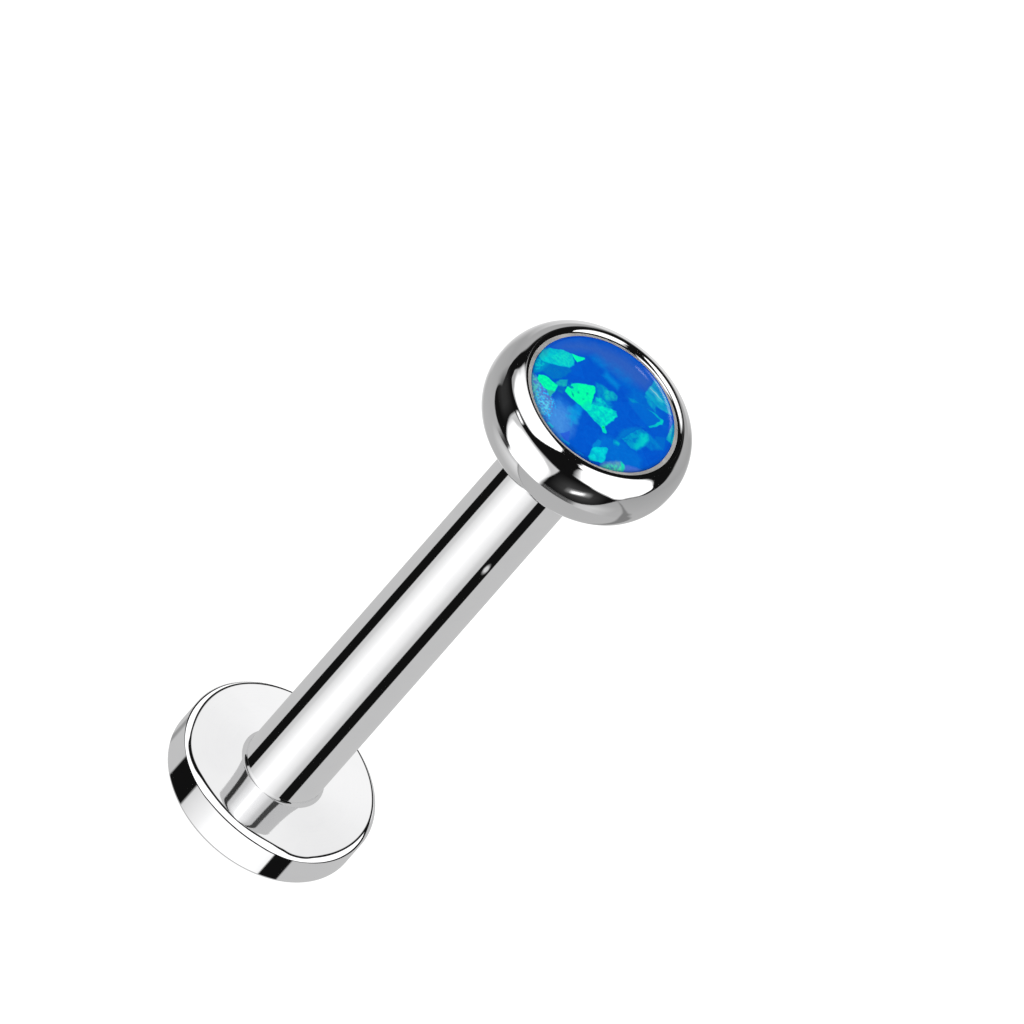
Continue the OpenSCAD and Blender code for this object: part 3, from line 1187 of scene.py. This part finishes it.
@dataclass(frozen=True)
class Panel:
    """One light or dark panel of a reflection tent.

    Its light may change across, by azimuth, and upright, by elevation, through shares between 0 and 1.
    """

    light: float
    edges: tuple[Edge, ...]
    across: tuple[Point, ...] = ()
    upright: tuple[Point, ...] = ()

    def paint(self, sky: Sky, under: "Wire | float") -> Wire:
        """Paints the panel over what is there.

        Args:
            sky: the place.
            under: the light that is there without it.

        Returns:
            The light with it.
        """
        light = self.light
        if self.across:
            light = light * sky.shader.curve(sky.azimuth, self.across, (-180.0, 0.0), (180.0, 1.0))
        if self.upright:
            light = light * sky.shader.curve(sky.elevation, self.upright, (-90.0, 0.0), (90.0, 1.0))
        mask = self.edges[0].mask(sky)
        for edge in self.edges[1:]:
            mask = mask * edge.mask(sky)
        return sky.shader.blend(under, light, mask)


def straight(side: Side, place: float, soft: float = 2.0) -> Edge:
    """A straight edge: level at an elevation, or upright at an azimuth."""
    level = side in (Side.OVER, Side.UNDER)
    return Edge(side, ((0.0, place) if level else (place, 0.0),), soft)


def bar(west: float, east: float, low: float, high: float, soft: float) -> tuple[Edge, ...]:
    """The edges of an upright panel between two azimuths and two elevations."""
    return (straight(Side.RIGHT, west, soft), straight(Side.LEFT, east, soft),
            straight(Side.OVER, low, soft), straight(Side.UNDER, high, soft))


def made_for(piece: bpy.types.Object, name: str) -> bpy.types.Collection:
    """Makes the collection that keeps a tent's or a lamp's light to one piece.

    Args:
        piece: the piece.
        name: the name of what gives the light.

    Returns:
        The collection, which holds only the piece.
    """
    only = bpy.data.collections.new(name + "_seen_by")
    only.objects.link(piece)
    return only


@dataclass
class ReflectionTent:
    """A large sphere of light and dark panels, seen only in the polish of the piece it is made for.

    It is no part of the stud, and neither the camera nor matt surfaces see it. With a mirror line, its
    azimuths and elevations are those of the slope that would mirror a place of the tent along that line.
    """

    name: str
    panels: tuple[Panel, ...]
    centre_z: float
    radius: float
    mirror_line: tuple[float, float, float] | None = None

    def build(self, piece: bpy.types.Object) -> bpy.types.Object:
        """Builds the tent.

        Args:
            piece: the piece that mirrors it.

        Returns:
            The tent.
        """
        section = Section()
        section.arc((0.0, self.centre_z), self.radius, -90.0, 90.0, steps=64)
        # Both ends lie exactly on the axis
        section.points[0] = (0.0, self.centre_z - self.radius, 0.0, -1.0)
        section.points[-1] = (0.0, self.centre_z + self.radius, 0.0, 1.0)
        tent = section.turned(self.name)
        tent.data.materials.append(self.material())
        tent.visible_camera = tent.visible_diffuse = tent.visible_transmission = False
        tent.visible_shadow = tent.visible_volume_scatter = False
        tent.light_linking.receiver_collection = made_for(piece, self.name)
        log.info("%s: %d panels", self.name, len(self.panels))
        return tent

    def material(self) -> bpy.types.Material:
        """Paints the panels.

        Returns:
            The tent's material, which gives light and hides nothing behind it.
        """
        material, shader = empty_material(self.name)
        # Mirrored rays alone find the tent, so it isn't sampled as a lamp
        material.cycles.emission_sampling = "NONE"
        place = shader.node("ShaderNodeTexCoord", {}, out="Object")
        place = shader.vector("SUBTRACT", place, (0.0, 0.0, self.centre_z * MM))
        place = shader.vector("NORMALIZE", place)
        if self.mirror_line:
            place = shader.vector("NORMALIZE", shader.vector("ADD", place, self.mirror_line))
        x, y, z = shader.split(place)
        degree = math.degrees(1.0)
        sky = Sky(shader, x.math("ARCTAN2", y * -1.0) * degree, z.math("ARCSINE") * degree)
        light = 0.0
        for panel in self.panels:
            light = panel.paint(sky, light)
        glow = shader.node("ShaderNodeEmission", {}, (1.0, 1.0, 1.0), light)
        clear = shader.node("ShaderNodeBsdfTransparent", {}, (1.0, 1.0, 1.0))
        both = shader.node("ShaderNodeAddShader", {}, glow, clear)
        shader.close("ShaderNodeOutputMaterial", both)
        return material


# The light of the tents' panels, and the edge that lets everything in
FLOOR_LIGHT = 0.56
WHITE = 1.4
BLACK = 0.006
EVERYWHERE = (straight(Side.OVER, -100.0),)

# The window on the left: a grey border, and a bright middle that fades into it
LEFT_OUTLINE = (
    Edge(Side.OVER, ((-180, 42.6), (-171, 46.2), (-160, 47.4), (-149, 47.6), (-138, 46.4), (-128, 43.5),
                     (-120, 39.2), (-114, 33.8), (-108, 27.4), (-101, 22), (-95, 16.5), (-86, 16),
                     (-78, 17), (-70, 19.5), (-60, 22), (-45, 24.5), (-36, 27.5), (-32, 31)), 1.6),
    Edge(Side.LEFT, ((-34, 29), (-32, 33), (-25, 48), (-18, 68), (-14, 80)), 3.0),
    Edge(Side.RIGHT, ((-179.3, 43), (-178.5, 44.5), (-178, 47), (-177.9, 55), (-178.8, 58),
                      (-180, 66)), 1.6),
)
LEFT_WINDOW = (
    Panel(0.40, LEFT_OUTLINE),
    Panel(WHITE, (
        *LEFT_OUTLINE,
        Edge(Side.OVER, ((-180, 43.5), (-169, 47.2), (-156, 49), (-137, 49.5), (-121, 44.5), (-103, 36),
                         (-91, 30), (-81, 25), (-72, 25), (-56, 28), (-33, 31)), 8.0))),
)

# The larger window on the right, which reaches round behind the stud
RIGHT_WINDOW = Panel(WHITE, (
    Edge(Side.RIGHT, ((26, 5), (27.5, 17), (28, 32), (31, 46), (35, 55.5), (44, 65), (60, 72)), 10.0),
    Edge(Side.OVER, ((18, 18), (22, 16.5), (35, 11.3), (52, 1.5), (62, -3), (74, -8), (84, -4.5), (92, -3),
                     (99.7, 2.8), (107, 13), (110.7, 21), (116.7, 31.6), (129.6, 42.3), (138.3, 46.5),
                     (146.3, 49.1), (153.2, 50.2), (160.4, 51.2), (165, 53), (170, 56.5)), 3.5),
    Edge(Side.LEFT, ((178, 40), (175, 48), (168, 54), (166.5, 60), (163, 72), (150, 78)), 4.0),
    Edge(Side.UNDER, ((39, 67), (53, 74), (70, 77.5), (88, 79.5), (110, 80), (135, 78), (150, 74),
                      (160, 70.5), (171, 61.5), (176, 54), (178, 50)), 2.0)),
    across=((20, 0.62), (30, 0.75), (42, 0.95), (50, 1.0), (90, 1.0), (130, 1.0)))

# The low window in front: a grey border, and a bright middle that fades into it
LOW_CORNER = Edge(Side.OVER, ((-59, -22), (-56, -31), (-51, -38), (-44, -42), (-36, -43.5)), 2.0)
LOW_OUTLINE = (
    Edge(Side.RIGHT, ((-49, -45), (-53, -33), (-57, -21), (-60, -4), (-60, 5)), 3.0),
    Edge(Side.LEFT, ((4, -44), (5, -32), (7, -18.5), (9, -6), (10.5, 6)), 1.5),
    Edge(Side.UNDER, ((-60, 4.5), (-45, 7), (-30, 8.5), (-10, 8), (0, 7), (11, 5)), 3.0),
    LOW_CORNER,
)
LOW_WINDOW = (
    Panel(0.62, LOW_OUTLINE),
    Panel(WHITE, (
        Edge(Side.RIGHT, ((-45, -46), (-51, -32), (-54, -20), (-54, -8), (-46, 0)), 7.0),
        Edge(Side.LEFT, ((4, -44), (4, -32), (4, -20), (2, -8), (-4, 1)), 7.0),
        Edge(Side.UNDER, ((-50, -2), (-42, 2), (-30, 4.5), (-15, 3.5), (-5, 0), (4, -7)), 6.0),
        LOW_CORNER)),
)

HEAD_PANELS = (
    # Pale floor, darkest near the level
    Panel(0.50, EVERYWHERE, upright=((-90, 0.95), (-60, 0.95), (-44, 0.90), (-30, 0.84), (-18, 0.80),
                                     (-6, 0.76), (10, 0.78), (40, 0.84))),
    # Brighter floor left of the camera
    Panel(0.82, (straight(Side.UNDER, -46.0, 12.0), straight(Side.OVER, -66.0, 30.0),
                 straight(Side.RIGHT, -58.0, 56.0), straight(Side.LEFT, -2.0, 56.0))),
    # Brighter floor right of the camera
    Panel(0.66, (straight(Side.UNDER, -32.0, 12.0), straight(Side.OVER, -48.0, 16.0),
                 straight(Side.RIGHT, 46.0, 14.0), straight(Side.LEFT, 74.0, 24.0))),
    # Bright floor behind, in two halves
    Panel(0.78, (straight(Side.RIGHT, 166.0, 16.0), straight(Side.UNDER, 16.0, 8.0),
                 straight(Side.OVER, -60.0, 10.0))),
    Panel(0.78, (straight(Side.LEFT, -152.0, 28.0), straight(Side.UNDER, 16.0, 8.0),
                 straight(Side.OVER, -60.0, 10.0))),
    # Dark room over the floor
    Panel(BLACK, (
        Edge(Side.OVER, ((-180, 38.5), (-165, 39.5), (-150, 38.5), (-140, 35), (-130, 28.5), (-120, 19.5),
                         (-112, 7), (-106, -4), (-98, -10), (-92, -14.5), (-90, -17), (-88, -34),
                         (-80, -39), (-65, -42), (-50, -43.5), (38, -43), (46, -41.6), (54, -37),
                         (63, -27), (69, -18), (75, -11), (85, -6.5), (95, -5), (100, -3.5), (107, 2),
                         (115, 11), (124, 19), (135, 27.2), (145, 32), (155, 35.8), (165, 37.5),
                         (180, 38.5)), 2.5),)),
    # Dark gap behind, in two halves
    *(Panel(BLACK, (straight(side, place, 4.0), straight(Side.OVER, 21.0, 12.0),
                    straight(Side.UNDER, 60.0, 4.0)))
      for side, place in ((Side.RIGHT, 173.5), (Side.LEFT, -173.5))),
    # Dark lobe on the left, and the soft dark above it
    Panel(BLACK, (
        Edge(Side.RIGHT, ((-88, -42), (-92, -35), (-97, -30), (-98.5, -25), (-96, -19), (-91, -14),
                          (-84, -8)), 3.0),
        straight(Side.LEFT, -70.0, 4.0),
        Edge(Side.OVER, ((-98, -30), (-92, -35), (-80, -39), (-65, -42)), 3.0),
        straight(Side.UNDER, -10.0, 4.0))),
    Panel(0.03, (straight(Side.RIGHT, -100.0, 20.0), straight(Side.LEFT, -66.0, 14.0),
                 straight(Side.OVER, -22.0, 12.0), straight(Side.UNDER, 0.0, 16.0))),
    *LEFT_WINDOW,
    RIGHT_WINDOW,
    *LOW_WINDOW,
    # Smoky dark between the low window and the right one
    Panel(0.05, bar(18.0, 56.0, -34.0, -4.0, 18.0)),
    # Slanting glint in it, with a soft border
    Panel(0.4, (
        straight(Side.RIGHT, 29.0, 8.0), straight(Side.LEFT, 47.0, 8.0),
        Edge(Side.OVER, ((28, -27), (47, -18)), 7.0), Edge(Side.UNDER, ((28, -17), (47, -9)), 7.0))),
    Panel(WHITE, (
        straight(Side.RIGHT, 32.0, 4.0), straight(Side.LEFT, 42.5, 4.0),
        Edge(Side.OVER, ((32, -25), (43, -18)), 3.5), Edge(Side.UNDER, ((32, -18.5), (43, -12)), 3.5))),
    # Small glint over the low window's left corner
    Panel(WHITE, bar(-60.0, -47.0, 9.5, 16.5, 4.0)),
    # Even grey floor in front and on the right, and the thin darker line at its left end
    Panel(0.47, (
        straight(Side.RIGHT, -25.0, 3.0),
        Edge(Side.LEFT, ((104, -45), (117, -49), (128, -53)), 10.0),
        straight(Side.UNDER, -44.0, 3.0))),
    Panel(0.30, (straight(Side.RIGHT, -26.5, 1.5), straight(Side.LEFT, -24.0, 1.5),
                 straight(Side.UNDER, -44.0, 3.0))),
    # Dark band that runs down through the floor's light on the right
    Panel(0.22, (
        Edge(Side.OVER, ((72, -9.5), (82, -22), (91, -32.5), (100, -41), (106, -46), (117, -51.5),
                         (127, -55), (138, -58), (147, -60)), 2.5),
        Edge(Side.UNDER, ((72, -7.5), (82, -19.5), (91, -29.5), (100, -36.5), (106, -40), (117, -43.5),
                          (127, -46.5), (138, -50.5), (147, -54)), 2.0),
        straight(Side.RIGHT, 76.0, 10.0), straight(Side.LEFT, 150.0, 12.0))),
)

LIP_PANELS = (
    # Dark room, with the floor's grey behind
    Panel(BLACK, EVERYWHERE),
    *(Panel(0.42, (straight(side, place, 14.0), straight(Side.UNDER, 17.0, 6.0)))
      for side, place in ((Side.RIGHT, 160.0), (Side.LEFT, -160.0))),
    *LEFT_WINDOW,
    RIGHT_WINDOW,
    # Dark below the two windows, and the low window over it
    Panel(BLACK, (
        Edge(Side.UNDER, ((-180, 44), (-176, 47.5), (-165, 53), (-150, 55), (-130, 47.5), (-119, 28),
                          (-110, 0), (-105, -60), (85, -60), (92, 10), (98, 41), (112, 60), (142, 66.5),
                          (156, 68.5), (168, 66), (176, 56), (180, 46)), 10.0),)),
    *LOW_WINDOW,
)

SEAT_PANELS = (Panel(0.78, EVERYWHERE),)

POST_PANELS = (
    Panel(FLOOR_LIGHT, EVERYWHERE),
    # Wide light stripe, brightest left of its middle
    Panel(WHITE, bar(-69.8, 44.0, -95.0, 95.0, 2.0), across=(
        (-72, 0.44), (-61, 0.47), (-52, 0.575), (-43, 0.655), (-32, 0.765), (-22, 0.95), (-10, 0.95),
        (0, 0.77), (11, 0.685), (19, 0.625), (27, 0.525), (33, 0.46), (43, 0.42))),
    # Dark stripes on both sides, and their upper ends
    Panel(BLACK, bar(-99.0, -69.0, -95.0, 20.0, 1.5)),
    Panel(BLACK, bar(42.8, 71.0, -95.0, 20.0, 1.5)),
    Panel(0.04, bar(-97.0, -73.0, 15.0, 95.0, 3.0)),
    Panel(0.06, bar(46.0, 67.0, 15.0, 95.0, 3.0)),
)

DISC_PANELS = (
    Panel(FLOOR_LIGHT, EVERYWHERE),
    # Light middle of the disc's side, between two dark stripes
    Panel(WHITE, bar(-29.5, 27.5, -95.0, 22.0, 1.0), across=(
        (-30, 0.5), (-24, 0.58), (-16, 0.68), (-6, 0.85), (12, 0.95), (20, 0.85), (28, 0.7))),
    Panel(BLACK, bar(-48.5, -29.5, -95.0, 22.0, 1.5)),
    Panel(BLACK, bar(27.5, 38.5, -95.0, 22.0, 1.0)),
    # Thin grey stripe at the left, and the side's grey foot
    Panel(0.32, bar(-76.0, -70.0, -95.0, 22.0, 3.0)),
    Panel(0.5, (straight(Side.UNDER, -14.0, 8.0),)),
    # White over the side's upper edge, with a dark line along it
    Panel(WHITE, (
        Edge(Side.OVER, ((-110, 40), (-100, 38), (-90, 28), (-75, 12), (-60, 4.5), (-50, 4), (-30, 9),
                         (-15, 18), (0, 22), (15, 19), (30, 9), (45, 4), (60, 6), (75, 20), (90, 42),
                         (100, 55)), 2.0),)),
    Panel(BLACK, (
        Edge(Side.OVER, ((-120, 44), (-110, 38), (-100, 30), (-90, 20), (-75, 4), (-60, 2.5), (-50, 2.5),
                         (-42, 2.5), (-25, 7), (-15, 14), (0, 17), (15, 14), (27, 6), (42, 2.5), (50, 2.5),
                         (60, 3), (75, 13), (90, 35), (100, 53), (110, 60)), 1.6),
        Edge(Side.UNDER, ((-120, 50), (-110, 47), (-100, 44), (-90, 37), (-75, 21), (-60, 9), (-50, 7),
                          (-42, 8), (-25, 14), (-15, 22), (0, 26), (15, 23), (27, 14), (42, 7), (50, 10),
                          (60, 14), (75, 28), (90, 49), (100, 65), (110, 68)), 1.6))),
    # Bright flat face, with a dark line round it
    Panel(0.99, (
        Edge(Side.OVER, ((-180, 50), (-150, 56), (-120, 62), (-90, 69), (-75, 62), (-60, 45), (-50, 33),
                         (-40, 38), (-30, 55), (-15, 65), (0, 65), (15, 66), (30, 50), (42, 34), (50, 42),
                         (60, 52), (75, 62), (90, 65), (120, 64), (150, 61), (180, 56)), 3.0),),
        across=((-180, 1.0), (-140, 1.0), (-60, 0.93), (0, 0.96), (60, 0.91), (130, 1.0), (180, 1.0))),
    Panel(BLACK, (
        Edge(Side.OVER, ((-180, 44), (-150, 48), (-120, 55), (-90, 61), (-75, 57), (-60, 42), (-50, 28),
                         (-40, 33), (-30, 49), (-15, 59), (0, 60), (15, 62), (30, 46), (42, 30), (50, 39),
                         (60, 48), (75, 57), (90, 59), (120, 57), (150, 54), (180, 48)), 4.0),
        Edge(Side.UNDER, ((-180, 57), (-150, 65), (-120, 69), (-90, 74), (-75, 69), (-60, 54), (-50, 48),
                          (-40, 54), (-30, 66), (-15, 74), (0, 76), (15, 75), (30, 60), (42, 43), (50, 51),
                          (60, 61), (75, 69), (90, 71.5), (120, 70), (150, 67), (180, 62)), 4.0))),
)

STONE_PANELS = (
    Panel(0.02, EVERYWHERE),
    # Two thin glints on the dome's far side
    Panel(2.0, (straight(Side.OVER, 71.1, 0.5), straight(Side.UNDER, 71.9, 0.5),
                straight(Side.RIGHT, 118.0, 30.0), straight(Side.LEFT, 166.0, 20.0))),
    Panel(1.3, (straight(Side.OVER, 73.7, 0.5), straight(Side.UNDER, 74.5, 0.5),
                straight(Side.RIGHT, 166.0, 8.0))),
)


@dataclass(frozen=True)
class Lamp:
    """One tiny round lamp: its distance to the post, its radius and the light of its surface."""

    distance: float
    radius: float
    light: float

    def energy(self) -> float:
        """The power that gives the lamp's surface its light."""
        return self.light * (2.0 * math.pi * self.radius * MM) ** 2


@dataclass
class GlintLamps:
    """Tiny lamps in a row close to the post, which light only the post.

    They stand on a line that leaves the post at the spot and runs along the aim, so their mirror images lie
    over each other and add up to the soft glint on the post's dark stripe.
    """

    spot: tuple[float, float, float] = (0.291, -0.525, 6.438)
    aim: tuple[float, float, float] = (0.625, -0.390, -0.676)
    lamps: tuple[Lamp, ...] = (Lamp(0.66, 0.104, 0.06), Lamp(0.58, 0.087, 0.13), Lamp(0.51, 0.07, 0.2),
                               Lamp(0.45, 0.05, 0.26))

    def build(self, piece: bpy.types.Object) -> None:
        """Builds the lamps.

        Args:
            piece: the piece that mirrors them.
        """
        seen_by = made_for(piece, "glint")
        for lamp in self.lamps:
            data = bpy.data.lights.new("glint_lamp", "POINT")
            data.energy = lamp.energy()
            data.shadow_soft_size = lamp.radius * MM
            light = bpy.data.objects.new("glint_lamp", data)
            light.location = (Vector(self.spot) + Vector(self.aim) * lamp.distance) * MM
            light.visible_camera = light.visible_diffuse = False
            bpy.context.scene.collection.objects.link(light)
            light.light_linking.receiver_collection = seen_by
        log.info("%d glint lamps", len(self.lamps))


@dataclass
class Studio:
    """The plain pale floor and the even light round it, which the stud's polish doesn't mirror."""

    floor_half: float = 300.0
    floor_colour: Colour = (0.3, 0.3, 0.3)
    floor_glow: float = 0.85
    sky_light: float = 1.12

    def build(self) -> None:
        """Builds the floor and the even light."""
        half = self.floor_half * MM
        corners = [(-half, -half, 0.0), (half, -half, 0.0), (half, half, 0.0), (-half, half, 0.0)]
        mesh = bpy.data.meshes.new("floor")
        mesh.from_pydata(corners, [], [(0, 1, 2, 3)])
        floor = bpy.data.objects.new("floor", mesh)
        bpy.context.scene.collection.objects.link(floor)
        material, shader = empty_material("pale_floor")
        paint = shader.node("ShaderNodeBsdfDiffuse", {}, self.floor_colour)
        glow = shader.node("ShaderNodeEmission", {}, (1.0, 1.0, 1.0), self.floor_glow)
        shader.close("ShaderNodeOutputMaterial", shader.node("ShaderNodeAddShader", {}, paint, glow))
        mesh.materials.append(material)
        floor.visible_glossy = False
        world = bpy.data.worlds.new("studio")
        bpy.context.scene.world = world
        world.use_nodes = True
        sky = Shader(world.node_tree)
        glow = sky.node("ShaderNodeBackground", {}, (1.0, 1.0, 1.0), self.sky_light)
        sky.close("ShaderNodeOutputWorld", glow)
        world.cycles_visibility.glossy = False
        log.info("floor and even light")


def main() -> None:
    """Loads the frame and builds the stud and its studio round it."""
    logging.basicConfig(level=logging.INFO, format="%(message)s")
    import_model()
    camera = PhotoCamera()
    camera.build()
    Studio().build()
    bpy.context.scene.view_settings.view_transform = "Standard"

    flat_disc, shaft, bezel = FlatDisc(), PostShaft(), BezelHead()
    ledge_z = bezel.middle_z + bezel.ledge[1]
    metal = PolishedMetal().material()
    opal = OpalFinish(1.0 / math.tan(math.radians(camera.elevation)), ledge_z).material()
    disc = flat_disc.build(metal)
    post = shaft.build(metal)
    head = bezel.build(metal)
    lip = bezel.build_lip(metal)
    seat = bezel.build_seat(SatinMetal().material())
    stone = OpalCabochon(ledge_z).build(opal)

    # The photograph shows none of these in another piece's polish, only the post in the disc's
    for piece in (disc, head, lip, seat, stone):
        piece.visible_glossy = False
    disc_z, middle_z, towards = flat_disc.thick, bezel.middle_z, camera.towards
    post_z = 0.5 * (shaft.foot_z + shaft.top_z)
    ReflectionTent("disc_tent", DISC_PANELS, disc_z, radius=400.0, mirror_line=towards).build(disc)
    ReflectionTent("post_tent", POST_PANELS, post_z, radius=410.0).build(post)
    GlintLamps().build(post)
    ReflectionTent("head_tent", HEAD_PANELS, middle_z, radius=420.0).build(head)
    ReflectionTent("lip_tent", LIP_PANELS, middle_z, radius=440.0).build(lip)
    ReflectionTent("seat_tent", SEAT_PANELS, middle_z, radius=450.0).build(seat)
    ReflectionTent("stone_tent", STONE_PANELS, middle_z, radius=430.0, mirror_line=towards).build(stone)


if __name__ == "__main__":
    main()
